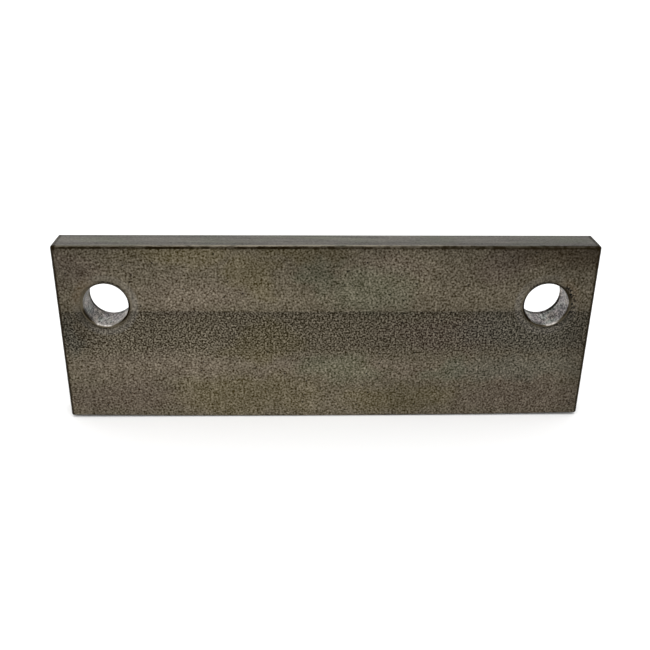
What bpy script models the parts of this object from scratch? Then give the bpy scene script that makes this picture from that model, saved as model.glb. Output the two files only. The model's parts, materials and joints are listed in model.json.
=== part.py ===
"""Idler guide plate: a square-cut length of flat steel bar with two drilled bolt holes near its top corners.

The plate stands on its long lower edge. X runs along its length, Y through its thickness from the rubbing
face to the back, and Z up its height. The origin is the centre of the lower edge.
"""

import math

import bpy

# The flat bar: 65 by 12 mm hot-rolled stock, cut to length (metres)
PLATE_LENGTH = 0.182
PLATE_HEIGHT = 0.065
PLATE_THICKNESS = 0.012

# The bar's four long corners come off the rolls slightly round, and the cut ends are only deburred
ROLLED_CORNER_RADIUS = 0.001
CUT_END_CHAMFER = 0.0004

# The two holes for M14 bolts, lightly countersunk on both faces
HOLE_DIAMETER = 0.0155
HOLE_CHAMFER = 0.0006
HOLE_CENTRE_TO_END = 0.016
HOLE_CENTRE_TO_TOP = 0.0212

# How far a cutter runs past the faces that it goes through
CUT_OVERRUN = 0.002

# How finely the round forms are divided
ROLLED_CORNER_SEGMENTS = 6
HOLE_SEGMENTS = 96

# Edges that turn more sharply than this are the square ones round the cut ends
CUT_END_EDGE_ANGLE = math.radians(60)

# Points of a turned profile that are closer than this are one point on its axis
AXIS_MERGE_DISTANCE = 0.00001

# The dark, faintly brown surface of hot-rolled steel
STEEL_COLOUR = (0.109, 0.093, 0.065, 1.0)
STEEL_ROUGHNESS = 0.62
STEEL_METALLIC = 0.55


def clear_scene():
    """Remove whatever objects the scene starts with."""
    for thing in list(bpy.data.objects):
        bpy.data.objects.remove(thing, do_unlink=True)


def new_collection(name):
    """A collection of that name, linked to the scene."""
    collection = bpy.data.collections.new(name)
    bpy.context.scene.collection.children.link(collection)
    return collection


def move_to_collection(thing, collection):
    """Put an object in one collection and take it out of the others."""
    for holder in list(thing.users_collection):
        holder.objects.unlink(thing)
    collection.objects.link(thing)


def hot_rolled_steel():
    """The plate's material."""
    material = bpy.data.materials.new("hot_rolled_steel")
    material.use_nodes = True
    shader = material.node_tree.nodes["Principled BSDF"]
    shader.inputs["Base Color"].default_value = STEEL_COLOUR
    shader.inputs["Roughness"].default_value = STEEL_ROUGHNESS
    shader.inputs["Metallic"].default_value = STEEL_METALLIC
    return material


def flat_bar(name, collection):
    """The bar as cut: a box on the ground, with its size applied to its mesh."""
    bpy.ops.mesh.primitive_cube_add(size=1.0)
    bar = bpy.context.object
    bar.name = name
    bar.data.name = name
    bar.scale = (PLATE_LENGTH, PLATE_THICKNESS, PLATE_HEIGHT)
    bpy.ops.object.transform_apply(location=False, rotation=False, scale=True)
    bar.location.z = PLATE_HEIGHT / 2
    bar.data.shade_smooth()
    move_to_collection(bar, collection)
    return bar


def runs_along_length(edge, mesh):
    """Whether an edge of the box is one of its four long ones."""
    start, end = (mesh.vertices[index].co for index in edge.vertices)
    return start.y == end.y and start.z == end.z


def round_rolled_corners(bar):
    """Round the four long corners, and only those, by their bevel weights."""
    mesh = bar.data
    weights = mesh.attributes.new("bevel_weight_edge", "FLOAT", "EDGE")
    for edge in mesh.edges:
        weights.data[edge.index].value = 1.0 if runs_along_length(edge, mesh) else 0.0
    bevel = bar.modifiers.new("rolled_corners", "BEVEL")
    bevel.limit_method = "WEIGHT"
    bevel.width = ROLLED_CORNER_RADIUS
    bevel.segments = ROLLED_CORNER_SEGMENTS


def deburr_cut_ends(bar):
    """Break the sharp edge that the cut leaves all round each end face."""
    bevel = bar.modifiers.new("cut_end_chamfer", "BEVEL")
    bevel.limit_method = "ANGLE"
    bevel.angle_limit = CUT_END_EDGE_ANGLE
    bevel.width = CUT_END_CHAMFER
    bevel.segments = 1


def hole_profile():
    """Half the section of a hole as (radius, distance from the bar's middle), from its front end to its back.

    The hole is straight in the middle and opens at 45 degrees at each face. The cone goes on past the face
    by the overrun, so that it leaves the metal cleanly.
    """
    bore_radius = HOLE_DIAMETER / 2
    cone = HOLE_CHAMFER + CUT_OVERRUN
    outer_end = PLATE_THICKNESS / 2 + CUT_OVERRUN
    inner_end = outer_end - cone
    return [
        (0, outer_end),
        (bore_radius + cone, outer_end),
        (bore_radius, inner_end),
        (bore_radius, -inner_end),
        (bore_radius + cone, -outer_end),
        (0, -outer_end),
    ]


def hole_cutter_mesh():
    """The profile as a line of edges, for the cutters to turn about their own Z axis."""
    points = [(radius, 0, height) for radius, height in hole_profile()]
    edges = [(index, index + 1) for index in range(len(points) - 1)]
    mesh = bpy.data.meshes.new("hole_profile")
    mesh.from_pydata(points, edges, [])
    return mesh


def hole_cutter(name, profile, place_along_length, collection):
    """One turned cutter, laid along Y at its hole's centre."""
    cutter = bpy.data.objects.new(name, profile)
    collection.objects.link(cutter)
    cutter.location = (place_along_length, 0, PLATE_HEIGHT - HOLE_CENTRE_TO_TOP)
    cutter.rotation_euler.x = math.pi / 2
    cutter.hide_render = True
    cutter.display_type = "WIRE"
    screw = cutter.modifiers.new("turned", "SCREW")
    screw.axis = "Z"
    screw.angle = math.tau
    screw.steps = HOLE_SEGMENTS
    screw.render_steps = HOLE_SEGMENTS
    screw.use_merge_vertices = True
    screw.merge_threshold = AXIS_MERGE_DISTANCE
    screw.use_smooth_shade = True
    return cutter


def drill(bar, cutter):
    """Cut one hole through the bar."""
    cut = bar.modifiers.new(cutter.name, "BOOLEAN")
    cut.operation = "DIFFERENCE"
    cut.solver = "EXACT"
    cut.object = cutter


def drill_bolt_holes(bar, cutters):
    """Drill the two holes, each at the same distance from its own end."""
    profile = hole_cutter_mesh()
    hole_place = PLATE_LENGTH / 2 - HOLE_CENTRE_TO_END
    for side, place in (("left", -hole_place), ("right", hole_place)):
        drill(bar, hole_cutter(f"bolt_hole_{side}", profile, place, cutters))


def keep_flats_flat(bar):
    """Weight the shading by face area, so that the flats look flat and only the small edges look round."""
    bar.modifiers.new("flat_shading", "WEIGHTED_NORMAL")


def main():
    clear_scene()
    part = new_collection("idler_guide_plate")
    cutters = new_collection("cutters")
    plate = flat_bar("guide_plate", part)
    plate.data.materials.append(hot_rolled_steel())
    round_rolled_corners(plate)
    deburr_cut_ends(plate)
    drill_bolt_holes(plate, cutters)
    keep_flats_flat(plate)


main()
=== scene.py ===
"""Idler guide plate: a length of hot-rolled flat bar with two drilled bolt holes.

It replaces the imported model's solid, on a plain pale floor. Lengths are in metres unless a name says
otherwise. X runs along the plate, Y from the rubbing face to the back, and Z up from the lower edge.
"""

import json
import math

import bmesh
import bpy
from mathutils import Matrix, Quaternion, Vector, geometry, noise


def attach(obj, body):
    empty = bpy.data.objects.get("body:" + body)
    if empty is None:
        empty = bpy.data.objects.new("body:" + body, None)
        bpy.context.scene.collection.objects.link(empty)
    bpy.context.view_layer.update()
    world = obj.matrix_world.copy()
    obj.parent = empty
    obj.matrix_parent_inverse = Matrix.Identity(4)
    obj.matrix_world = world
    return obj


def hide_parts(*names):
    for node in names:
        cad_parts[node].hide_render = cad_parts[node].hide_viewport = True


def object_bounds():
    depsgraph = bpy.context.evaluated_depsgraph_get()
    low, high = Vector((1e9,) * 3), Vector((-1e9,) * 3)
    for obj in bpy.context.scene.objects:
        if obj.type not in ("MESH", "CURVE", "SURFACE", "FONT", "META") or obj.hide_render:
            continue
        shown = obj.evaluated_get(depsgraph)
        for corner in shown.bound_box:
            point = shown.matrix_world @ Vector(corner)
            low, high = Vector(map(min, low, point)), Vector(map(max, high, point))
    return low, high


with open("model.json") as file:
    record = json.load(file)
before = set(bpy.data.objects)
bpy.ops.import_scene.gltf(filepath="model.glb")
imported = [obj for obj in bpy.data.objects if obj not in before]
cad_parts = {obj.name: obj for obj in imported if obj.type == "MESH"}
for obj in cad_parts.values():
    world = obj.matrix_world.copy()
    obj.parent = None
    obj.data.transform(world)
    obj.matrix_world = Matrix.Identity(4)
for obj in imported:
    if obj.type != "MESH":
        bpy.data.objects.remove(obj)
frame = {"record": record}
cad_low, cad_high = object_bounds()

bl_info = {
    "name": "Idler guide plate",
    "version": (1, 0, 0),
    "blender": (4, 5, 0),
    "location": "3D View > Sidebar > Guide Plate",
    "description": "Builds a hot-rolled steel guide plate with two bolt holes, and a plain studio",
    "category": "Add Mesh",
}

PLATE_NODE = "guide_plate"
BODY = "root"

MM = 0.001

# The plate as packed
LENGTH = cad_high.x - cad_low.x
THICKNESS = cad_high.y - cad_low.y
HEIGHT = cad_high.z - cad_low.z


def hole_centre_from_record():
    """Half the distance between the two holes, and their height, from the record's openings."""
    for opening in frame["record"]["physics"]["openings"]:
        low, high = opening["box_m"]
        across = (low[0] + high[0]) / 2
        if across > 0:
            return across, (low[2] + high[2]) / 2
    raise RuntimeError("the record names no opening on the plate's right side")


HOLE_ACROSS, HOLE_UP = hole_centre_from_record()

# The plate in millimetres, which is what the materials work in
HALF_LENGTH_MM = LENGTH / 2 / MM
HALF_THICKNESS_MM = THICKNESS / 2 / MM
HEIGHT_MM = HEIGHT / MM

# How finely the surfaces are divided
FACE_SPACING = 0.001
END_SPACING = 0.0006
BORE_SPACING = 0.0005
CORNER_SEGMENTS = 8
HOLE_SEGMENTS = 144
FLOOR_SEGMENTS = 96
RIM_RINGS_MM = (0.3, 0.7, 1.2)
SMOOTH_ANGLE = math.radians(28)

# Slack for rounding: in a count of steps, between points that meet, and in filling an outline
STEP_SLACK = 1e-9
MERGE_DISTANCE = 1e-6
FILL_SLACK = 1e-7

# The kind of fill that keeps what is inside an outline
FILL_INSIDE = 1

# How far points keep clear of a cut end's outline, over their spacing
END_CLEARANCE = 0.7

# Where a broken edge's middle lies, over its width: at 0.5 it would be flat
END_CHAMFER_MIDDLE = 0.45
COUNTERSINK_MIDDLE = 0.52

# How far into a bore the drill's burr reaches
BURR_REACH = 0.0012

# Where the dark band across the broad faces begins, and the saw's pitch on the cut ends
BAND_TOP_MM = 41.4
SAW_PITCH_MM = 1.3

# The sizes of the uneven places along, through and up the plate
SWELLS_MM = (38, 5, 17)
RIPPLES_MM = (9, 4, 6)
NICKS_MM = (1.9, 2, 2)
WEAR_MM = (14, 1, 30)
SAW_BENDS_MM = (1, 6, 9)

# How far the lower edge rises at the plate's two ends, and the height over which that fades
BOW_MM = 0.72
BOW_HEIGHT_MM = 6.0

# Which material each patch of the surface takes
SCALE, SAWN, DRILLED = range(3)

# The camera, solved from the photograph's outline of the plate
CAMERA_PLACE = (-0.00987, -0.26625, 0.15787)
CAMERA_PAN = math.radians(1.979)
CAMERA_TILT = math.radians(25.002)
CAMERA_ROLL = math.radians(0.741)
CAMERA_LENS = 46.365
SENSOR_WIDTH = 36.0
NEAREST_SEEN = 0.01
FURTHEST_SEEN = 50.0

# Where the overhead lamp stands, as a direction from the plate, and the colour of the light all round
LAMP_TOWARDS = (0.0, -0.42, 0.92)
WHITE = (1.0, 1.0, 1.0)


def a_length(label, what, default, low, high):
    """A length that the user may change, in metres."""
    return bpy.props.FloatProperty(
        name=label, description=what, default=default, min=low, max=high, subtype="DISTANCE", unit="LENGTH"
    )


def a_colour(label, what, default):
    """A colour that the user may change."""
    return bpy.props.FloatVectorProperty(
        name=label, description=what, default=default, size=3, min=0.0, max=1.0, subtype="COLOR"
    )


def a_strength(label, what, default, high):
    """A strength that the user may change, from none upwards."""
    return bpy.props.FloatProperty(
        name=label, description=what, default=default, min=0.0, max=high, subtype="FACTOR"
    )


class PlateSizes(bpy.types.PropertyGroup):
    """The plate's small forms. Its length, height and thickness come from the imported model."""

    corner_radius: a_length("Corner radius", "Radius of the bar's four long corners", 0.001, 0.0002, 0.003)
    end_chamfer: a_length("End chamfer", "Width of the broken edge round a cut end", 0.0004, 0.0001, 0.0009)
    hole_diameter: a_length("Hole diameter", "Diameter of the two bolt holes", 0.0155, 0.008, 0.024)
    hole_chamfer: a_length("Hole chamfer", "Width of the countersinks", 0.0006, 0.0001, 0.002)
    unevenness: a_length("Unevenness", "How far the rolled faces dip", 0.00005, 0.0, 0.0005)
    nick_depth: a_length("Nick depth", "Depth of the nicks along the corners", 0.0001, 0.0, 0.0006)
    saw_depth: a_length("Saw line depth", "Depth of the saw lines across the ends", 0.00003, 0.0, 0.0002)
    burr: a_length("Burr", "How far the drill's burr narrows each end of a bore", 0.00015, 0.0, 0.0005)


class SteelColours(bpy.types.PropertyGroup):
    """The colours of the steel's finishes and the look of its grain."""

    brown_scale: a_colour("Brown scale", "Main colour of the rolled faces' scale", (0.081, 0.068, 0.0463))
    lilac_scale: a_colour("Lilac scale", "Its lighter, pinker patches", (0.084, 0.067, 0.051))
    olive_scale: a_colour("Olive scale", "Its yellower patches", (0.086, 0.071, 0.035))
    green_scale: a_colour("Green scale", "Its greener patches", (0.069, 0.0725, 0.047))
    slate_scale: a_colour("Slate scale", "Its bluer patches", (0.068, 0.067, 0.054))
    purple_scale: a_colour("Purple scale", "Its more purple patches", (0.081, 0.061, 0.048))
    fleck_grey: a_colour("Fleck grey", "What the grain adds and takes away", (0.076, 0.0684, 0.0562))
    rust_brown: a_colour("Rust brown", "Faint rust at a corner and by the holes", (0.070, 0.049, 0.026))
    edge_grey: a_colour("Edge grey", "The smoother long edges and the cut ends", (0.101, 0.093, 0.078))
    edge_green: a_colour("Edge green", "Greener stretches of the long edges", (0.095, 0.094, 0.071))
    edge_mauve: a_colour("Edge mauve", "More purple front half of the long edges", (0.103, 0.090, 0.079))
    # The light line along the top edge: burnished wear with a painted highlight
    worn_edge_and_highlight: a_colour("Worn edge", "The light line worn along the top edge", (0.245, 0.215, 0.165))
    # The colour of dark crust and of painted shade: the corners' dark reflection and the holes' black
    crust_and_shade: a_colour("Corner crust", "Dark crust along corners and rims", (0.011, 0.0065, 0.0008))
    bare_steel: a_colour("Bare steel", "The drilled bores", (0.184, 0.166, 0.163))
    brown_steel: a_colour("Brownish steel", "The stained parts of the bores", (0.186, 0.168, 0.150))
    green_steel: a_colour("Greenish steel", "The greener parts of the bores", (0.170, 0.175, 0.160))
    # The colours of the painted highlight arcs on the countersinks' bare steel
    dull_steel_highlight: a_colour("Dull steel", "The duller part of the bright arcs", (0.28, 0.26, 0.24))
    bright_steel_highlight: a_colour("Bright steel", "The brightest part of the bright arcs", (0.54, 0.51, 0.475))
    tint_strength: a_strength("Tint strength", "How clearly the tinted patches show", 0.45, 1.0)
    grain_size: a_length("Grain size", "Width of the pits and flecks of the faces", 0.0008, 0.0003, 0.005)
    grain_contrast: a_strength("Grain contrast", "How strongly the grain shows", 1.0, 3.0)


class StudioSettings(bpy.types.PropertyGroup):
    """The floor and the light."""

    floor_colour: a_colour("Floor", "Colour of the floor", (0.93, 0.93, 0.93))
    floor_radius: a_length("Floor radius", "How far the floor reaches", 6.0, 0.5, 50.0)
    room_light: a_strength("Room light", "Strength of the even light from all round", 1.0, 5.0)
    lamp_strength: a_strength("Overhead lamp", "Strength of the soft lamp above", 1.3, 20.0)
    lamp_spread: bpy.props.FloatProperty(
        name="Lamp spread", description="How wide the lamp looks", default=math.radians(34),
        min=0.0, max=math.radians(120), subtype="ANGLE", unit="ROTATION",
    )


class Skin:
    """A mesh being put together from patches that meet at shared points."""

    def __init__(self):
        self.points = []
        self.faces = []
        self.finishes = []

    def add_grid(self, rows, finish):
        """Join rows of points, each as long as the others, with quads."""
        first = len(self.points)
        width = len(rows[0])
        for row in rows:
            self.points.extend(row)
        for down in range(len(rows) - 1):
            for along in range(width - 1):
                corner = first + down * width + along
                self.faces.append((corner, corner + 1, corner + width + 1, corner + width))
                self.finishes.append(finish)

    def add_triangles(self, points, triangles, finish):
        """Add triangles that index their own list of points."""
        first = len(self.points)
        self.points.extend(points)
        for triangle in triangles:
            self.faces.append(tuple(first + index for index in triangle))
            self.finishes.append(finish)

    def to_mesh(self, name):
        """One closed mesh, its patches joined where their points meet."""
        mesh = bpy.data.meshes.new(name)
        mesh.from_pydata(self.points, [], self.faces)
        mesh.polygons.foreach_set("material_index", self.finishes)
        work = bmesh.new()
        work.from_mesh(mesh)
        bmesh.ops.remove_doubles(work, verts=work.verts, dist=MERGE_DISTANCE)
        bmesh.ops.recalc_face_normals(work, faces=work.faces)
        open_edges = sum(1 for edge in work.edges if len(edge.link_faces) != 2)
        work.to_mesh(mesh)
        work.free()
        if open_edges:
            raise RuntimeError(f"{name} isn't closed: {open_edges} edges don't join two faces")
        return mesh


def stations(start, end, spacing):
    """Even places from start to end, both included, no further apart than the spacing."""
    count = max(1, math.ceil(abs(end - start) / spacing - STEP_SLACK))
    return [start + (end - start) * index / count for index in range(count + 1)]


def arc(centre_y, centre_z, radius, start, end):
    """Points of an arc in the bar's section, from one angle to the other."""
    angles = stations(start, end, abs(end - start) / CORNER_SEGMENTS)
    return [(centre_y + radius * math.cos(angle), centre_z + radius * math.sin(angle)) for angle in angles]


def bar_section(sizes, inset):
    """The bar's outline across its length, moved inwards by the inset.

    Returns (y, z) points going up the front face, over the top, down the back and along the bottom, and for
    each point whether the step to the next one is along a broad face.
    """
    radius = sizes.corner_radius
    half = THICKNESS / 2
    inner = half - radius
    heights = stations(radius, HEIGHT - radius, FACE_SPACING)
    depths = stations(-inner, inner, FACE_SPACING)
    small = radius - inset
    parts = [
        ([(-half + inset, height) for height in heights], True),
        (arc(-inner, HEIGHT - radius, small, math.pi, math.pi / 2), False),
        ([(depth, HEIGHT - inset) for depth in depths], False),
        (arc(inner, HEIGHT - radius, small, math.pi / 2, 0), False),
        ([(half - inset, height) for height in reversed(heights)], True),
        (arc(inner, radius, small, 0, -math.pi / 2), False),
        ([(depth, inset) for depth in reversed(depths)], False),
        (arc(-inner, radius, small, -math.pi / 2, -math.pi), False),
    ]
    points = []
    broad = []
    for part, is_broad in parts:
        points.extend(part[:-1])
        broad.extend([is_broad] * (len(part) - 1))
    return points, broad


def mouth_radius(sizes):
    """Radius of a hole at the plate's faces, past its countersink."""
    return sizes.hole_diameter / 2 + sizes.hole_chamfer


def circle(centre, radius):
    """Points round a circle in a plane."""
    turns = [math.tau * index / HOLE_SEGMENTS for index in range(HOLE_SEGMENTS)]
    return [(centre[0] + radius * math.cos(turn), centre[1] + radius * math.sin(turn)) for turn in turns]


def fill_outline(outline, holes, loose):
    """Triangles that fill an outline but not its round holes, through the loose points inside it.

    Points are (across, up) pairs and holes (centre, radius) pairs. Returns the points and the triangles.
    """
    flat = []
    edges = []
    for ring in [outline] + [circle(centre, radius) for centre, radius in holes]:
        first = len(flat)
        flat.extend(Vector(point) / MM for point in ring)
        edges.extend((first + index, first + (index + 1) % len(ring)) for index in range(len(ring)))
    flat.extend(Vector(point) / MM for point in loose)
    found, _, triangles, _, _, _ = geometry.delaunay_2d_cdt(flat, edges, [], FILL_INSIDE, FILL_SLACK)
    kept = []
    for triangle in triangles:
        middle = sum((found[index] for index in triangle), Vector((0, 0))) / 3 * MM
        if all((middle - centre).length > radius for centre, radius in holes):
            kept.append(triangle)
    return [point * MM for point in found], kept


def add_broad_face(skin, sizes, depth):
    """One broad face between the rolled corners, with the two hole mouths left open."""
    end = LENGTH / 2 - sizes.end_chamfer
    foot, head = sizes.corner_radius, HEIGHT - sizes.corner_radius
    across = stations(-end, end, FACE_SPACING)
    up = stations(foot, head, FACE_SPACING)
    outline = [(x, foot) for x in across[:-1]]
    outline += [(end, z) for z in up[:-1]]
    outline += [(x, head) for x in reversed(across[1:])]
    outline += [(-end, z) for z in reversed(up[1:])]
    mouth = mouth_radius(sizes)
    centres = [Vector((side * HOLE_ACROSS, HOLE_UP)) for side in (-1, 1)]
    clear = mouth + RIM_RINGS_MM[-1] * MM + FACE_SPACING / 2
    loose = [
        (x, z)
        for x in across[1:-1]
        for z in up[1:-1]
        if all((Vector((x, z)) - centre).length > clear for centre in centres)
    ]
    for centre in centres:
        for width in RIM_RINGS_MM:
            loose += circle(centre, mouth + width * MM)
    flat, triangles = fill_outline(outline, [(centre, mouth) for centre in centres], loose)
    skin.add_triangles([Vector((x, depth, z)) for x, z in flat], triangles, SCALE)


def add_long_edges(skin, sizes):
    """The rolled corners and the narrow long edges, swept along the bar."""
    end = LENGTH / 2 - sizes.end_chamfer
    across = stations(-end, end, FACE_SPACING)
    section, broad = bar_section(sizes, 0)
    count = len(section)
    for index in range(count):
        if not broad[index]:
            pair = (section[index], section[(index + 1) % count])
            skin.add_grid([[Vector((x, y, z)) for x in across] for y, z in pair], SCALE)


def add_cut_end(skin, sizes, side):
    """A cut end with the broken edge round it."""
    chamfer = sizes.end_chamfer
    middle = chamfer * END_CHAMFER_MIDDLE
    steps = ((0.0, chamfer), (middle, middle), (chamfer, 0.0))
    rings = []
    for inset, back in steps:
        section, _ = bar_section(sizes, inset)
        rings.append([Vector((side * (LENGTH / 2 - back), y, z)) for y, z in section + section[:1]])
    skin.add_grid(rings, SAWN)
    outline, _ = bar_section(sizes, chamfer)
    margin = chamfer + END_SPACING * END_CLEARANCE
    half = THICKNESS / 2
    loose = [
        (y, z)
        for y in stations(-half + margin, half - margin, END_SPACING)
        for z in stations(margin, HEIGHT - margin, END_SPACING)
        if clear_of_corners(y, z, sizes.corner_radius, margin)
    ]
    flat, triangles = fill_outline(outline, [], loose)
    skin.add_triangles([Vector((side * LENGTH / 2, y, z)) for y, z in flat], triangles, SAWN)


def clear_of_corners(y, z, radius, margin):
    """Whether a point of the section lies that far inside the rounded corners, or away from them."""
    out_y = abs(y) - (THICKNESS / 2 - radius)
    out_z = max(radius - z, z - (HEIGHT - radius))
    return out_y <= 0 or out_z <= 0 or math.hypot(out_y, out_z) <= max(radius - margin, 0)


def add_hole(skin, sizes, centre):
    """A drilled hole: the countersink at each mouth and the bore between them."""
    bore = sizes.hole_diameter / 2
    chamfer = sizes.hole_chamfer
    half = THICKNESS / 2
    middle = chamfer * COUNTERSINK_MIDDLE
    profile = [(bore + chamfer, -half), (bore + middle, -half + middle)]
    for depth in stations(-half + chamfer, half - chamfer, BORE_SPACING):
        from_mouth = half - chamfer - abs(depth)
        profile.append((bore - sizes.burr * ease(from_mouth, BURR_REACH, 0), depth))
    profile += [(bore + middle, half - middle), (bore + chamfer, half)]
    rows = []
    for radius, depth in profile:
        ring = circle(centre, radius)
        rows.append([Vector((x, depth, z)) for x, z in ring + ring[:1]])
    skin.add_grid(rows, DRILLED)


def ease(value, low, high):
    """0 at low, 1 at high and smooth between; low may be the larger."""
    share = max(0.0, min(1.0, (value - low) / (high - low)))
    return share * share * (3 - 2 * share)


def wave(place, sizes, shift=(0, 0, 0)):
    """Smooth wandering between 0 and 1, with swells of those sizes in millimetres."""
    scaled = Vector([value / size for value, size in zip(place, sizes)])
    return 0.5 + 0.5 * noise.noise(scaled + Vector(shift))


def roughen(mesh, sizes):
    """Move the surface inwards by the small amounts that rolling, sawing and handling leave.

    Every move is inwards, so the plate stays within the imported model's box.
    """
    normals = [vertex.normal.copy() for vertex in mesh.vertices]
    for vertex, normal in zip(mesh.vertices, normals):
        place = vertex.co / MM
        broad, narrow, end = abs(normal.y), abs(normal.z), ease(abs(normal.x), 0.8, 0.95)

        # The rolled faces swell and ripple, and the dark band across them lies a little deeper
        rolled = 0.65 * wave(place, SWELLS_MM) + 0.35 * wave(place, RIPPLES_MM, (7, 3, 1))
        sunk = ease(place.z, BAND_TOP_MM + 0.3, BAND_TOP_MM - 0.4) * ease(place.z, 24, 30)
        depth = sizes.unevenness * (1 - end) * (rolled + 0.6 * sunk * ease(broad, 0.9, 1.0))

        # Nicks and wear along the corners
        corner = ease(min(broad, narrow), 0.35, 0.6)
        nick = ease(wave(place, NICKS_MM, (31, 5, 9)), 0.62, 0.85)
        wear = ease(wave(place, WEAR_MM, (2, 8, 4)), 0.4, 0.9)
        depth += sizes.nick_depth * corner * (nick + 0.4 * wear)

        # Saw lines across the cut ends
        bend = 3 * wave(place, SAW_BENDS_MM)
        saw = 0.5 + 0.5 * math.sin(place.z * math.tau / SAW_PITCH_MM + bend)
        depth += sizes.saw_depth * saw * end
        vertex.co -= normal * depth
    bow_lower_edge(mesh)


def bow_lower_edge(mesh):
    """The lower edge rises a little towards both ends, as the photograph shows."""
    for vertex in mesh.vertices:
        height = vertex.co.z / MM
        if height < BOW_HEIGHT_MM:
            rise = BOW_MM * (2 * vertex.co.x / LENGTH) ** 2
            vertex.co.z += MM * rise * ease(height, BOW_HEIGHT_MM, 0)


def new_object(name, data):
    """An object in the scene."""
    made = bpy.data.objects.new(name, data)
    bpy.context.scene.collection.objects.link(made)
    return made


def plate_object(sizes):
    """The whole plate as one object."""
    skin = Skin()
    add_broad_face(skin, sizes, -THICKNESS / 2)
    add_broad_face(skin, sizes, THICKNESS / 2)
    add_long_edges(skin, sizes)
    for side in (-1, 1):
        add_cut_end(skin, sizes, side)
        add_hole(skin, sizes, (side * HOLE_ACROSS, HOLE_UP))
    mesh = skin.to_mesh("rolled_plate")
    roughen(mesh, sizes)
    mesh.shade_smooth()
    mesh.set_sharp_from_angle(angle=SMOOTH_ANGLE)
    return new_object("rolled_plate", mesh)


class Value:
    """A number that varies over a surface: a socket on which ordinary arithmetic adds Math nodes."""

    def __init__(self, finish, socket):
        self.finish = finish
        self.socket = socket

    def __add__(self, other):
        return self.finish.maths("ADD", self, other)

    def __radd__(self, other):
        return self.finish.maths("ADD", other, self)

    def __sub__(self, other):
        return self.finish.maths("SUBTRACT", self, other)

    def __rsub__(self, other):
        return self.finish.maths("SUBTRACT", other, self)

    def __mul__(self, other):
        return self.finish.maths("MULTIPLY", self, other)

    def __rmul__(self, other):
        return self.finish.maths("MULTIPLY", other, self)

    def __truediv__(self, other):
        return self.finish.maths("DIVIDE", self, other)

    def __rtruediv__(self, other):
        return self.finish.maths("DIVIDE", other, self)

    def __pow__(self, other):
        return self.finish.maths("POWER", self, other)

    def __abs__(self):
        return self.finish.maths("ABSOLUTE", self)

    def ease(self, low, high):
        """0 at low, 1 at high and smooth between; low may be the larger."""
        inputs = {"Value": self, "From Min": low, "From Max": high}
        return self.finish.node("ShaderNodeMapRange", {"interpolation_type": "SMOOTHSTEP"}, inputs)

    def within(self, low, high, soft):
        """1 between low and high and 0 outside, with edges that are soft over that much."""
        rise = self.ease(low - soft / 2, low + soft / 2)
        return rise * self.ease(high + soft / 2, high - soft / 2)

    def limit(self, low, high):
        """The number kept between two others."""
        return self.finish.node("ShaderNodeClamp", {}, {"Value": self, "Min": low, "Max": high})


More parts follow.
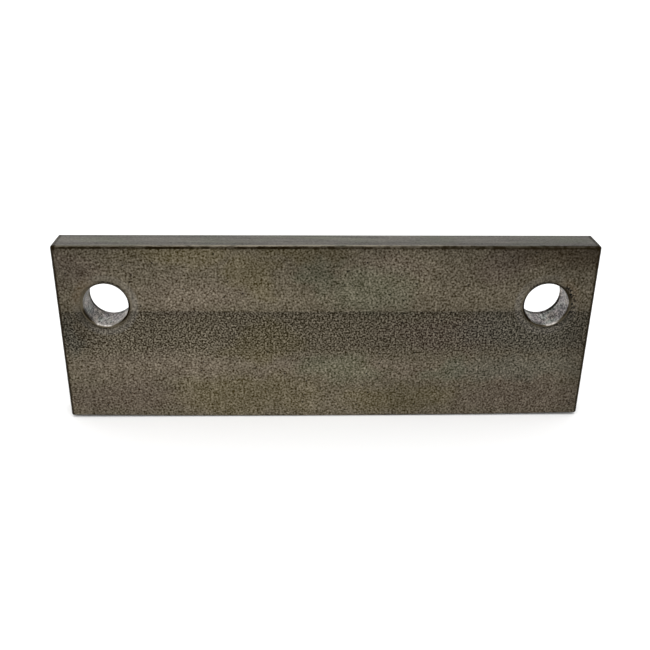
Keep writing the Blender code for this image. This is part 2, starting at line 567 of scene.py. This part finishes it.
class Finish:
    """A material being put together from nodes."""

    def __init__(self, name):
        self.material = bpy.data.materials.new(name)
        self.material.use_nodes = True
        self.tree = self.material.node_tree
        self.shader = self.tree.nodes["Principled BSDF"]
        place = self.node("ShaderNodeTexCoord", {}, {}, "Object")
        self.place = self.scale(place, 1 / MM)
        self.x, self.y, self.z = self.split(self.place)

    def node(self, kind, settings, inputs, output=0):
        """Add a node with its settings, then the values or links of its inputs. Returns one output."""
        made = self.tree.nodes.new(kind)
        for name, value in settings.items():
            if name == "stops":
                self.set_stops(made.color_ramp, value)
            else:
                setattr(made, name, value)
        for key, value in inputs.items():
            self.feed(made.inputs[key], value)
        return Value(self, made.outputs[output])

    def feed(self, socket, value):
        """Link a Value to an input, or set the input to a plain number, vector or colour."""
        if isinstance(value, Value):
            self.tree.links.new(value.socket, socket)
        else:
            socket.default_value = value

    def set_stops(self, ramp, stops):
        """Give a colour ramp its (place, grey) stops."""
        while len(ramp.elements) < len(stops):
            ramp.elements.new(1.0)
        for element, (place, grey) in zip(ramp.elements, stops):
            element.position = place
            element.color = (grey, grey, grey, 1.0)

    def maths(self, operation, *inputs):
        """A Math node."""
        return self.node("ShaderNodeMath", {"operation": operation}, dict(enumerate(inputs)))

    def split(self, vector):
        """The three parts of a vector."""
        made = self.node("ShaderNodeSeparateXYZ", {}, {0: vector})
        return tuple(Value(self, output) for output in made.socket.node.outputs)

    def scale(self, vector, factor):
        """A vector or colour times a number."""
        return self.node("ShaderNodeVectorMath", {"operation": "SCALE"}, {0: vector, "Scale": factor})

    def plus(self, one, other):
        """The sum of two vectors or colours."""
        return self.node("ShaderNodeVectorMath", {"operation": "ADD"}, {0: one, 1: other})

    def stretched(self, across, through, up, shift=(0, 0, 0)):
        """The place on the plate, stretched so that a pattern has these sizes in millimetres."""
        inputs = {0: self.place, 1: (1 / across, 1 / through, 1 / up), 2: shift}
        return self.node("ShaderNodeVectorMath", {"operation": "MULTIPLY_ADD"}, inputs)

    def noise(self, vector, size=1.0, detail=2.0, roughness=0.5):
        """Cloudy noise about a half, with features of that size."""
        inputs = {"Vector": vector, "Scale": 1 / size, "Detail": detail, "Roughness": roughness}
        return self.node("ShaderNodeTexNoise", {"noise_dimensions": "3D"}, inputs)

    def cloud(self, across, through, up, shift=(0, 0, 0), detail=2.0, roughness=0.5):
        """Cloudy noise about a half, with features of these sizes in millimetres."""
        return self.noise(self.stretched(across, through, up, shift), 1.0, detail, roughness)

    def cells(self, vector, size):
        """Distance to the nearest of scattered points, over their spacing."""
        inputs = {"Vector": vector, "Scale": 1 / size}
        return self.node("ShaderNodeTexVoronoi", {"feature": "F1"}, inputs, "Distance")

    def ramp(self, value, stops):
        """A number looked up along a line of stops."""
        return self.node("ShaderNodeValToRGB", {"stops": stops}, {0: value})

    def greatest(self, one, *others):
        """The largest of some numbers."""
        for other in others:
            one = self.maths("MAXIMUM", one, other)
        return one

    def blend(self, one, other, share):
        """Two colours mixed, each a Value or a property's colour."""
        one, other = (colour if isinstance(colour, Value) else opaque(colour) for colour in (one, other))
        return self.node("ShaderNodeMix", {"data_type": "RGBA"}, {0: share, 6: one, 7: other}, 2)

    def set(self, **inputs):
        """Set or link inputs of the shader, named with underscores for spaces."""
        for name, value in inputs.items():
            self.feed(self.shader.inputs[name.replace("_", " ")], value)

    def bump(self, height, depth, strength):
        """Raise the surface by a height from 0 to 1, times a depth in metres."""
        inputs = {"Strength": strength, "Distance": depth, "Height": height}
        self.set(Normal=self.node("ShaderNodeBump", {}, inputs))

    def patch(self, x, z, middle_x, middle_z, half_width, half_height, rim=1.9, core=0.0):
        """A soft-edged round patch, 0 beyond its rim and 1 in its core."""
        across = (x - middle_x) / half_width
        up = (z - middle_z) / half_height
        return (across * across + up * up).ease(rim, core)


class HoleFinish(Finish):
    """A finish that is laid out about the nearer bolt hole.

    Turn is the angle about the hole in degrees, 0 at its lowest point and positive towards the plate's end.
    Right is 0 on the plate's left half and 1 on its right.
    """

    def __init__(self, name):
        super().__init__(name)
        self.across = abs(self.x) - HOLE_ACROSS / MM
        self.up = self.z - HOLE_UP / MM
        self.turn = self.maths("ARCTAN2", self.across, 0 - self.up) * math.degrees(1)
        self.right = self.x.ease(-1, 1)

    def by_side(self, left, right):
        """A number that is one thing about the left hole and another about the right."""
        return left + self.right * (right - left)

    def beyond(self, radius):
        """How far outside a circle about the hole a place lies, in millimetres."""
        return (self.across * self.across + self.up * self.up) ** 0.5 - radius


def opaque(colour):
    """A property's colour with its alpha."""
    return (*colour, 1.0)


# The front face's tints, later ones on top, as (across, up, half width, half height) in millimetres
TINTED_PATCHES = {
    "purple_scale": ((58, 57, 10, 6), (71, 9, 26, 7), (-73, 9, 20, 7), (-84, 57, 10, 8), (45, 33, 22, 6)),
    "lilac_scale": (
        (-48, 47, 18, 7), (-60, 21, 30, 5), (-16, 20, 12, 5), (22, 58, 14, 5), (27, 20, 10, 4),
    ),
    "olive_scale": (
        (-49, 62, 16, 5), (-26, 55, 8, 8), (-10, 63, 15, 4), (-22, 30, 11, 6), (-31, 9, 25, 8),
        (28, 7, 17, 6),
    ),
    "green_scale": ((-3, 54, 6, 6), (15, 49, 14, 8), (5, 20, 12, 6), (43, 20, 6, 5)),
    "slate_scale": ((70, 34, 23, 8), (66, 20, 24, 5), (-89, 33, 7, 8)),
}

# The front face's slow light and dark places, in the same way and with how much lighter each is
LIGHT_PLACES = (
    (26, 57, 14, 8, 0.26), (-41, 62, 18, 5, 0.18), (-3, 57, 8, 9, -0.18), (66, 56, 8, 10, -0.08),
    (90, 56, 6, 10, 0.20), (80, 62, 6, 3, 0.10), (71, 58, 5, 6, 0.10), (88, 44, 8, 6, 0.18),
    (-89, 55, 8, 9, -0.12), (-36, 45, 26, 6, 0.07), (-84, 62, 8, 4, 0.16), (22, 62, 7, 4, 0.08),
    (60, 61, 7, 5, -0.12), (79, 56, 7, 5, -0.14), (10, 53, 8, 9, 0.08), (-80, 31, 14, 6, 0.12),
    (20, 26, 54, 5, -0.08), (-84, 19, 9, 9, 0.10), (-89, 3, 5, 4, 0.16), (10, 22, 9, 5, 0.12),
    (26, 5, 12, 8, -0.12), (4, 7, 18, 9, 0.16), (89, 9, 7, 9, 0.16),
)

# The bands along the faces, as (height over the plate's, shade), and what brings the shades to about 1
BAND_STOPS = (
    (0.000, 0.59), (0.190, 0.565), (0.250, 0.62), (0.312, 0.675), (0.372, 0.585), (0.440, 0.435),
    (0.530, 0.395), (0.600, 0.367), (0.634, 0.335), (0.642, 0.54), (0.715, 0.60), (0.775, 0.57),
    (0.830, 0.51), (0.885, 0.48), (0.945, 0.42), (1.000, 0.36),
)
BAND_GAIN = 2.06

# The grain: its layers' widths over its size, how its swings are strengthened and bent, and the pinholes
COARSE_GRAIN, FINE_GRAIN, FINEST_GRAIN = 4.0, 0.95, 0.72
GRAIN_GAIN = 1.57
GRAIN_POWER = 1.4
DARKEST_GRAIN = 0.2
PINHOLE_SPACING_MM = 3.4


def slow_light(finish):
    """How much lighter or darker the front face is in broad soft places."""
    wander = (finish.cloud(11, 5, 7, (6, 0, 3), 3.0) - 0.5) * 12
    x, z = finish.x + wander, finish.z - wander * 0.5
    return sum(finish.patch(x, z, *patch) * amount for *patch, amount in LIGHT_PLACES)


def front_tone(finish, colours, front):
    """The tinted patches of the front face, and looser ones on the back."""
    x = finish.x + (finish.cloud(18, 5, 10, detail=3.0) - 0.5) * 34
    z = finish.z + (finish.cloud(13, 5, 12, (5, 9, 2), 3.0) - 0.5) * 14
    tone = colours.brown_scale
    for tint, patches in TINTED_PATCHES.items():
        shares = [finish.patch(x, z, *patch) for patch in patches]
        share = finish.greatest(*shares) * front * colours.tint_strength
        tone = finish.blend(tone, getattr(colours, tint), share)
    mottle = finish.cloud(18, 4, 8, (1, 4, 6), 3.0)
    behind = (1 - front) * colours.tint_strength
    tone = finish.blend(tone, colours.olive_scale, mottle.ease(0.5, 0.68) * behind)
    return finish.blend(tone, colours.slate_scale, mottle.ease(0.48, 0.3) * behind)


def end_shade(finish, front):
    """The shade of the darker ends and the lighter left half, and a patch at the dark top right corner."""
    waver = (finish.cloud(12, 5, 12, (2, 6, 1), 3.0) - 0.5) * 10
    x, z = finish.x + waver, finish.z
    in_band = (z + waver * 0.4).within(27, 42, 8)
    right_end = x.ease(20, 92) * 0.11 + x.ease(78, 90) * 0.28
    left_end = x.ease(-70, -86) * (0.17 + in_band * 0.16)
    left_light = x.ease(24, -6) * 0.10 + x.within(-54, -36, 12) * 0.11
    corner = finish.patch(x, z, 88, 67, 30, 11, rim=1.4, core=0.1) * front
    return (1 - right_end) * (1 - left_end) * (1 + left_light) * (1 - corner * 0.42), corner


def grain_layer(finish, size, shift):
    """Noise that runs level through each broad face, so that its flecks there keep one size."""
    through = HALF_THICKNESS_MM / (size * round(HALF_THICKNESS_MM / size))
    return finish.noise(finish.stretched(1, through, 1, shift), size, 0.0) - 0.5


def face_grain(finish, colours, dark_band):
    """The flecks of the rolled faces as a shade about 1, and the pits for their relief."""
    size = colours.grain_size / MM
    coarse = finish.noise(finish.stretched(1, 1, 1.05), size * COARSE_GRAIN, 0.0) - 0.5
    fine = grain_layer(finish, size * FINE_GRAIN, (3, 0, 5))
    finest = grain_layer(finish, size * FINEST_GRAIN, (6, 0, 9))
    grain = coarse * (0.3 - dark_band * 0.25)
    grain += fine * (1.15 - dark_band * 0.3) + finest * (1.05 + dark_band * 1.65)
    fleck = finish.greatest(1.0 + grain * colours.grain_contrast * GRAIN_GAIN, DARKEST_GRAIN)
    return fleck ** GRAIN_POWER, fine + finest


def mark_round_holes(finish, colours, beyond, tone, shade):
    """A broad face's tone and shade with marks round the holes, and how strong the grain is there."""
    turn, right = finish.turn, finish.right
    patchy = finish.cloud(2.2, 2, 2.2, (4, 3, 7))
    spots = finish.cloud(0.8, 1, 0.8, (9, 0, 2), 1.0).ease(0.47, 0.58)

    # A pale halo, clearest below and inwards, with calmer grain, and a darker patch on the outward side
    halo = beyond.within(0.5, 2.7, 1.2) * (0.5 + turn.within(-125, 40, 50) * 0.5)
    calm = 1 - beyond.ease(4.5, 0.0) * finish.by_side(0.5, 0.34)
    outward_dark = beyond.ease(2.0, 0.0) * turn.within(36, 80, 24)

    # A thin dark rim: strong above, where it is painted shade, strong below and on the right hole's outward
    # side, and faint elsewhere
    over = finish.greatest(turn.ease(-112, -146), turn.ease(162, 180))
    under = turn.within(-6, 36, 12)
    stained = turn.within(84, 140, 14) * right
    rim = finish.greatest(over, under, stained) * (0.34 + spots * 0.54) + 0.12
    rim *= (beyond - spots * stained * 0.7).ease(0.65, 0.25)

    # Dark flakes a little further out
    flaked = turn.within(66, 136, 16) * right + turn.within(38, 76, 16) * 0.6
    flaked *= beyond.ease(3.2, 1.2) * spots * 0.7
    shade *= (1 + halo * 0.34) * (1 - outward_dark * patchy * 0.4) * (1 - rim) * (1 - flaked)

    # Rust on the outward side
    rust = beyond.within(0.2, 3.0, 1.6) * turn.within(95, 150, 40)
    tone = finish.blend(tone, colours.fleck_grey, halo * 0.8)
    tone = finish.blend(tone, colours.rust_brown, rust * patchy)
    return tone, shade, calm


def broad_face(finish, colours, mouth):
    """The colour of the two broad faces, and their pits for the relief."""
    front = finish.y.ease(3, -3)

    # The bands waver a little along the bar; the dark one starts at a crisp line
    waver = finish.cloud(46, 6, 9, (3, 0, 8))
    band_z = finish.z + (waver - 0.5) * 1.6
    dark_band = band_z.ease(BAND_TOP_MM + 0.4, BAND_TOP_MM - 0.4) * band_z.ease(21, 31)
    line = band_z.within(BAND_TOP_MM - 1.3, BAND_TOP_MM - 0.2, 0.6)
    broken_line = finish.cloud(30, 4, 4, (5, 5, 1), 3.0).ease(0.35, 0.55)
    ends, corner = end_shade(finish, front)
    shade = finish.ramp(band_z / HEIGHT_MM, BAND_STOPS) * BAND_GAIN * ends
    shade *= (1 - line * broken_line * 0.14) * (1 + slow_light(finish) * front)
    tone = front_tone(finish, colours, front)
    tone = finish.blend(tone, colours.rust_brown, corner * 0.6)
    tone, shade, calm = mark_round_holes(finish, colours, finish.beyond(mouth), tone, shade)

    # The grain adds and takes away a greyer tone than the face's own, and round pinholes darken both
    fleck, pits = face_grain(finish, colours, dark_band)
    flat_tone = finish.blend(tone, colours.fleck_grey, 0.75)
    pinhole = finish.cells(finish.place, PINHOLE_SPACING_MM).ease(0.12, 0.055) * 0.85
    face = finish.plus(finish.scale(tone, shade), finish.scale(flat_tone, shade * (fleck - 1) * calm))
    return finish.scale(face, 1 - pinhole), pits


def long_edge(finish, colours, edge_up):
    """The colour of the narrow long edges, smoother and greyer than the faces, and their streaks."""
    x, y = finish.x, finish.y
    streak = finish.cloud(26, 1.5, 1.5, (0, 2, 0), 3.0, 0.6)
    speck = finish.noise(finish.stretched(1, 1, 1, (7, 7, 2)), 0.7, 1.0)
    mauve_front = y.within(-4.3, -2.4, 1.6)
    shade = 1 + (streak - 0.5) * 1.8 + (speck - 0.5) * 1.0
    shade *= (1 - x.ease(10, 60) * 0.20) * (1 - y.ease(4.2, 5.4) * 0.18) * (1 - mauve_front * 0.18)
    greener = finish.cloud(16, 7, 7, (9, 2, 0), 3.0).ease(0.46, 0.66)
    tone = finish.blend(colours.edge_grey, colours.edge_green, greener)
    tone = finish.blend(tone, colours.edge_mauve, mauve_front * 0.6)
    tone = finish.blend(tone, colours.brown_scale, edge_up.ease(0.99, 0.9) * 0.7)
    return finish.scale(tone, shade), streak


def worn_line_and_highlight(finish):
    """Where a light line of wear and painted highlight runs along the front of the top edge."""
    behind_front = finish.y + HALF_THICKNESS_MM
    below_top = HEIGHT_MM - finish.z
    wear_and_highlight = finish.cloud(5, 2, 2, (3, 1, 6), 4.0, 0.65)
    line = behind_front.within(0.45, 1.2, 0.3) * below_top.ease(0.7, 0.4)
    return line * abs(finish.x + 8).ease(84, 24) * wear_and_highlight.ease(0.38, 0.56)


def crust_and_shade(finish, edge_up, on_edge):
    """Where dark crust and a painted dark reflection cover the long corners and the edges beside the cut
    ends.
    """
    x, y, z = finish.x, finish.y, finish.z
    from_end = HALF_LENGTH_MM - abs(x)
    below_top = HEIGHT_MM - z
    broken = finish.cloud(2.4, 3, 3, (0, 0, 4), 3.0)
    ragged = finish.cloud(1.5, 2, 2, (2, 5, 4), 3.0) - 0.5

    # The top corners, whose crust and painted dark reflection are thicker in two stretches and thinner in
    # one, and the lower corners
    crust_and_shade_top = 0.75 + x.ease(-60, 70) * 0.20 + ragged * 0.30
    rolled = edge_up.ease(crust_and_shade_top + 0.06, crust_and_shade_top - 0.06)
    thick = x.within(-59, -45, 8) * 0.28 + x.within(-26, -10, 8) * 0.30
    thick += 0.62 - x.within(14, 33, 8) * 0.16
    upper = rolled * (thick + broken.ease(0.42, 0.58) * 0.32)
    upper *= (below_top - ragged * 0.6).ease(1.25, 0.9)
    upper *= (HALF_THICKNESS_MM - abs(y) - ragged * 1.2).ease(1.3, 0.95)
    lower = rolled * z.ease(0.7, 0.3) * broken.ease(0.3, 0.6) * 0.5

    # Beside the cut ends: on the broad faces, on the long edges, and at the tips of the two front corners
    sides = (from_end - ragged * 0.6).ease(1.2, 0.65) * (1 - on_edge) * 0.9
    short_edges = (from_end - ragged * 0.8).ease(1.7, 1.1) * on_edge * finish.by_side(0.5, 0.64)
    at_front = (y + HALF_THICKNESS_MM).ease(1.3, 0.5)
    tips = (from_end - ragged).ease(2.1, 1.2) * at_front * below_top.ease(2.0, 1.2)
    return finish.greatest(upper, lower, sides, short_edges, tips)


def mill_scale(colours, mouth):
    """The rolled faces: dark pitted scale in soft bands and patches, with smoother grey long edges.

    Mouth is the radius of a hole's mouth in millimetres.
    """
    finish = HoleFinish("mill_scale")
    normal = finish.node("ShaderNodeNewGeometry", {}, {}, "Normal")
    edge_up = abs(finish.split(normal)[2])
    on_edge = edge_up.ease(0.5, 0.62)
    face, pits = broad_face(finish, colours, mouth)
    edge, streak = long_edge(finish, colours, edge_up)
    skin = finish.blend(face, edge, on_edge)
    # A light line of wear and painted highlight along the top edge
    skin = finish.blend(skin, colours.worn_edge_and_highlight, worn_line_and_highlight(finish) * 0.82)
    # Dark crust and a painted dark reflection along the corners and beside the cut ends
    crust_and_shade_share = crust_and_shade(finish, edge_up, on_edge)
    skin = finish.blend(skin, colours.crust_and_shade, crust_and_shade_share)
    rough = (0.56 + pits * 0.25 - on_edge * 0.10 + crust_and_shade_share * 0.3).limit(0.3, 0.95)
    finish.set(Base_Color=skin, Metallic=0.45 + crust_and_shade_share * 0.08, Roughness=rough, Specular_IOR_Level=0.1)
    finish.bump(pits * (1 - on_edge * 0.85) + streak * on_edge * 0.4, depth=0.0001, strength=0.8)
    return finish.material


def saw_cut(colours):
    """The cut ends: fine saw lines under a thin dark film, with dark crust and a painted dark reflection on
    the broken edge.
    """
    finish = Finish("saw_cut")
    x, y, z = finish.x, finish.y, finish.z
    bend = finish.cloud(9, 9, 12)
    across = z + y * 0.12 + (bend - 0.5) * 1.6
    line_place = finish.node("ShaderNodeCombineXYZ", {}, {0: across * 2.4, 1: y * 0.04, 2: x})
    lines = finish.noise(line_place, 1.0, 4.0, 0.65)
    scratch = finish.noise(finish.scale(line_place, 2.7))
    film = finish.cloud(8, 8, 11, (4, 1, 2), 3.0)
    speck = finish.noise(finish.stretched(1, 1, 1), 0.8)
    shade = 1 + (lines - 0.5) * 2.1 + (film - 0.5) * 0.6 + (speck - 0.5) * 0.6
    shade *= (1 + scratch.ease(0.62, 0.74) * 0.5 - scratch.ease(0.36, 0.26) * 0.4)
    tone = finish.blend(colours.edge_grey, colours.brown_scale, film.ease(0.4, 0.65))
    # The broken edge takes dark crust and a painted dark reflection
    broken_edge = (HALF_LENGTH_MM - abs(x)).ease(0.02, 0.12)
    skin = finish.blend(finish.scale(tone, shade), colours.crust_and_shade, broken_edge * 0.95)
    rough = (0.46 + (lines - 0.5) * 0.3 + (speck - 0.5) * 0.2).limit(0.25, 0.9)
    finish.set(Base_Color=skin, Metallic=0.55, Roughness=rough, Specular_IOR_Level=0.2)
    finish.bump(lines, depth=0.0001, strength=0.7)
    return finish.material


def bore_steel(finish, colours, depth):
    """The colour of the bare bores, and their streaks and specks for the relief."""
    turn, right, by_side = finish.turn, finish.right, finish.by_side
    patchy = finish.cloud(3.4, 5, 3.4, (2, 2, 7))
    stain = finish.cloud(4, 6, 4, (6, 5, 1))
    tone = finish.blend(colours.bare_steel, colours.green_steel, patchy.ease(0.42, 0.6))
    tone = finish.blend(tone, colours.brown_steel, stain.ease(0.46, 0.62))

    # Painted light at the bottom, most of all deep inside it and on the right bore's outward side, and
    # painted shade on the outward sides, most of all the left bore's
    light = turn.within(by_side(-50, -40), 24, 26) * 0.24
    deep_light = turn.within(by_side(-52, -42), by_side(-22, -18), 16)
    light += deep_light * depth.ease(2.5, 4.5) * by_side(0.42, 0.64)
    light += turn.within(84, 106, 16) * right * 0.2
    shadow = turn.within(40, 76, 24) * by_side(0.16, 0.04)
    shadow += turn.within(56, 112, 16) * depth.ease(4.4, 2.6) * (1 - right) * 0.26

    # Streaks through the bore, turning marks round it, grit and dark specks
    streak = finish.cloud(0.75, 2.2, 0.75, (1, 6, 3), 1.0) - 0.5
    marks = finish.cloud(9, 1.0, 9, (4, 0, 1), 1.0) - 0.5
    grit = finish.cloud(0.4, 0.8, 0.4, (3, 3, 9), 0.0) - 0.5
    speck = finish.cloud(0.7, 1.6, 0.7, (8, 1, 3), 0.0)
    shade = by_side(1.17, 1.09) + streak * by_side(3.3, 4.5) + grit * 2.4 + marks * 1.4
    shade = (shade + (patchy - 0.5) * 0.5) * (1 + light - shadow)
    shade = finish.greatest(shade * (1 - speck.ease(0.40, 0.26) * 0.6), 0.15)
    return finish.scale(tone, shade), streak, speck


def outward_brown(finish, colours, skin, depth):
    """The bores' colour with the face's brown on their outward sides, reaching deeper further up."""
    turn, right, by_side = finish.turn, finish.right, finish.by_side
    starts = by_side(66, 98) + depth * by_side(4.1, 2.4)
    share = (turn - starts).ease(0, by_side(13, 9))
    shaded = depth.ease(0.9, 2.0) * turn.ease(82, 104) * (1 - right) * 0.45
    brown = finish.scale(tuple(colours.brown_scale), by_side(1.05, 0.30) - shaded)
    return finish.blend(skin, brown, share)


def black_film_and_shade(finish, depth, front):
    """Where the bores are black, partly with film and partly with painted shade: inward sides, a ring
    before the back mouth and smears at the front one.
    """
    turn, right, by_side = finish.turn, finish.right, finish.by_side
    into = (finish.y + HALF_THICKNESS_MM).limit(0, 5)
    inward = turn + into * (1 - right) * 1.5
    inward = inward.ease(by_side(-43, -33), by_side(-53, -41))
    inward *= turn.ease(-112, -92) * depth.ease(0.04, 0.34)

    ring = turn.within(by_side(28, 32), by_side(70, 76), 16)
    ring = ring * by_side(0.34, 0.56) + turn.within(-50, 92, 20) * 0.36
    ring *= depth.ease(by_side(1.9, 2.3), by_side(1.5, 1.75)) * (1 - front)

    lower = turn.ease(by_side(-22, 4), by_side(-36, -8)) * 0.5
    lower = (lower + turn.ease(-36, -48) * 0.5) * turn.ease(-92, -80)
    reach = by_side(1.6, 2.3) + turn.ease(-36, -54) * 1.4
    lower *= depth.ease(reach + 1.3, reach)
    upper = turn.within(by_side(40, 52), by_side(78, 84), 14)
    upper *= by_side(0.84, 0.50) * depth.ease(by_side(3.0, 1.8), 0.9)
    smears = (lower + upper) * front * depth.ease(0.2, 0.42)
    return finish.greatest(inward, ring, smears)


def highlight_arc(finish, colours, depth, front):
    """The painted highlight on bare steel, in an arc from the bottom of the front countersink into the
    bore: its colour and place.
    """
    turn, by_side = finish.turn, finish.by_side
    arc_share = turn.ease(by_side(-20, 4), by_side(-4, 8))
    arc_share *= turn.ease(by_side(34, 45), 23)
    highlight_share = arc_share * depth.within(by_side(0.43, 0.36), 1.25, 0.24) * front
    glint = finish.cloud(1.1, 1.1, 1.1, (5, 0, 2), 1.0).ease(0.45, 0.6)
    return finish.blend(colours.dull_steel_highlight, colours.bright_steel_highlight, glint), highlight_share


def drilled_steel(colours):
    """The holes: bare grey steel with dark film and painted shade on it, a painted highlight arc, and brown
    or black countersinks.
    """
    finish = HoleFinish("drilled_steel")
    turn, right = finish.turn, finish.right
    depth = HALF_THICKNESS_MM - abs(finish.y)
    front = finish.y.ease(1, -1)
    skin, streak, speck = bore_steel(finish, colours, depth)
    skin = outward_brown(finish, colours, skin, depth)
    # Black film and painted shade in the bores
    dark = black_film_and_shade(finish, depth, front)

    # The countersinks: brown like the face but darker, except where they are black; the black on the right
    # hole's upper countersink is painted shade
    mouth = depth.ease(0.66, 0.5)
    under = turn.within(-12, 40, 12) * depth.ease(0.4, 0.2)
    mouth_shade = finish.by_side(1.05, 0.85) - under * 0.45
    mouth_shade += turn.within(78, 140, 12) * (1 - right) * 0.25
    skin = finish.blend(skin, finish.scale(tuple(colours.brown_scale), mouth_shade), mouth)
    black_mouth = turn.within(100, 152, 16) * right * 0.8
    top = finish.greatest(turn.ease(138, 150) * 0.64, turn.ease(-122, -142) * 0.45)
    top *= right * front * depth.ease(1.6, 1.0)
    black = finish.greatest(dark, black_mouth * mouth, top)
    skin = finish.blend(skin, colours.crust_and_shade, black * 0.92)

    # The painted highlight arc at the bottom of the front countersink
    shine, highlight_share = highlight_arc(finish, colours, depth, front)
    skin = finish.blend(skin, shine, highlight_share)
    rough = (0.46 + streak * 0.3 + dark * 0.5 - highlight_share * 0.1).limit(0.2, 0.95)
    finish.set(Base_Color=skin, Metallic=0.9, Roughness=rough, Specular_IOR_Level=0.05)
    finish.bump(streak + speck * 0.5, depth=0.00006, strength=0.7)
    return finish.material


def floor_object(settings):
    """A plain round floor under the plate's lower edge."""
    mesh = bpy.data.meshes.new("floor")
    work = bmesh.new()
    bmesh.ops.create_circle(work, cap_ends=True, segments=FLOOR_SEGMENTS, radius=settings.floor_radius)
    work.to_mesh(mesh)
    work.free()
    floor = new_object("floor", mesh)
    floor.location.z = cad_low.z
    finish = Finish("floor_paper")
    finish.set(Base_Color=opaque(settings.floor_colour), Roughness=0.9, Specular_IOR_Level=0.2)
    mesh.materials.append(finish.material)
    return floor


def room_light(settings):
    """Even white light from all round."""
    world = bpy.data.worlds.new("studio")
    world.use_nodes = True
    backdrop = world.node_tree.nodes["Background"]
    backdrop.inputs["Color"].default_value = opaque(WHITE)
    backdrop.inputs["Strength"].default_value = settings.room_light
    bpy.context.scene.world = world


def overhead_lamp(settings):
    """A broad soft lamp, far off, that lights the whole floor evenly."""
    lamp = bpy.data.lights.new("overhead_lamp", "SUN")
    lamp.energy = settings.lamp_strength
    lamp.angle = settings.lamp_spread
    holder = new_object("overhead_lamp", lamp)
    holder.location = Vector(LAMP_TOWARDS).normalized()
    holder.rotation_euler = Vector(LAMP_TOWARDS).to_track_quat("Z", "Y").to_euler()


def studio_camera():
    """The camera at the photograph's place and angle."""
    camera = bpy.data.cameras.new("camera")
    camera.lens = CAMERA_LENS
    camera.sensor_width = SENSOR_WIDTH
    camera.clip_start = NEAREST_SEEN
    camera.clip_end = FURTHEST_SEEN
    holder = new_object("camera", camera)
    holder.location = CAMERA_PLACE
    holder.rotation_mode = "QUATERNION"
    level = math.cos(CAMERA_TILT)
    forward = Vector((level * math.sin(CAMERA_PAN), level * math.cos(CAMERA_PAN), -math.sin(CAMERA_TILT)))
    roll = Quaternion((0, 0, 1), CAMERA_ROLL)
    holder.rotation_quaternion = forward.to_track_quat("-Z", "Y") @ roll
    bpy.context.scene.camera = holder


class GUIDEPLATE_OT_build_plate(bpy.types.Operator):
    """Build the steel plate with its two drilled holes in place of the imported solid"""

    bl_idname = "guide_plate.build_plate"
    bl_label = "Build plate"

    def execute(self, context):
        sizes = context.scene.guide_plate_sizes
        colours = context.scene.guide_plate_colours
        plate = plate_object(sizes)
        mouth_mm = mouth_radius(sizes) / MM
        for material in (mill_scale(colours, mouth_mm), saw_cut(colours), drilled_steel(colours)):
            plate.data.materials.append(material)
        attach(plate, BODY)
        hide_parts(PLATE_NODE)
        return {"FINISHED"}


class GUIDEPLATE_OT_build_stage(bpy.types.Operator):
    """Build the pale floor, the soft light and the camera"""

    bl_idname = "guide_plate.build_stage"
    bl_label = "Build stage"

    def execute(self, context):
        settings = context.scene.guide_plate_studio
        floor_object(settings)
        room_light(settings)
        overhead_lamp(settings)
        studio_camera()
        context.scene.view_settings.view_transform = "Standard"
        return {"FINISHED"}


class GUIDEPLATE_PT_panel(bpy.types.Panel):
    """The builders and their settings"""

    bl_idname = "GUIDEPLATE_PT_panel"
    bl_label = "Guide Plate"
    bl_space_type = "VIEW_3D"
    bl_region_type = "UI"
    bl_category = "Guide Plate"

    def draw(self, context):
        scene = context.scene
        self.draw_group(scene.guide_plate_sizes, "Plate")
        self.draw_group(scene.guide_plate_colours, "Steel")
        self.layout.operator(GUIDEPLATE_OT_build_plate.bl_idname)
        self.draw_group(scene.guide_plate_studio, "Studio")
        self.layout.operator(GUIDEPLATE_OT_build_stage.bl_idname)

    def draw_group(self, group, title):
        """One box with every property of a group."""
        box = self.layout.box()
        box.label(text=title)
        for name in group.__annotations__:
            box.prop(group, name)


CLASSES = (
    PlateSizes,
    SteelColours,
    StudioSettings,
    GUIDEPLATE_OT_build_plate,
    GUIDEPLATE_OT_build_stage,
    GUIDEPLATE_PT_panel,
)


def register():
    """Add the classes, and their settings to the scene."""
    for one in CLASSES:
        bpy.utils.register_class(one)
    bpy.types.Scene.guide_plate_sizes = bpy.props.PointerProperty(type=PlateSizes)
    bpy.types.Scene.guide_plate_colours = bpy.props.PointerProperty(type=SteelColours)
    bpy.types.Scene.guide_plate_studio = bpy.props.PointerProperty(type=StudioSettings)


def unregister():
    """Take the settings and the classes away again."""
    del bpy.types.Scene.guide_plate_studio
    del bpy.types.Scene.guide_plate_colours
    del bpy.types.Scene.guide_plate_sizes
    for one in reversed(CLASSES):
        bpy.utils.unregister_class(one)


def main():
    """Build the stage and the plate."""
    register()
    bpy.ops.guide_plate.build_stage()
    bpy.ops.guide_plate.build_plate()


if __name__ == "__main__":
    main()
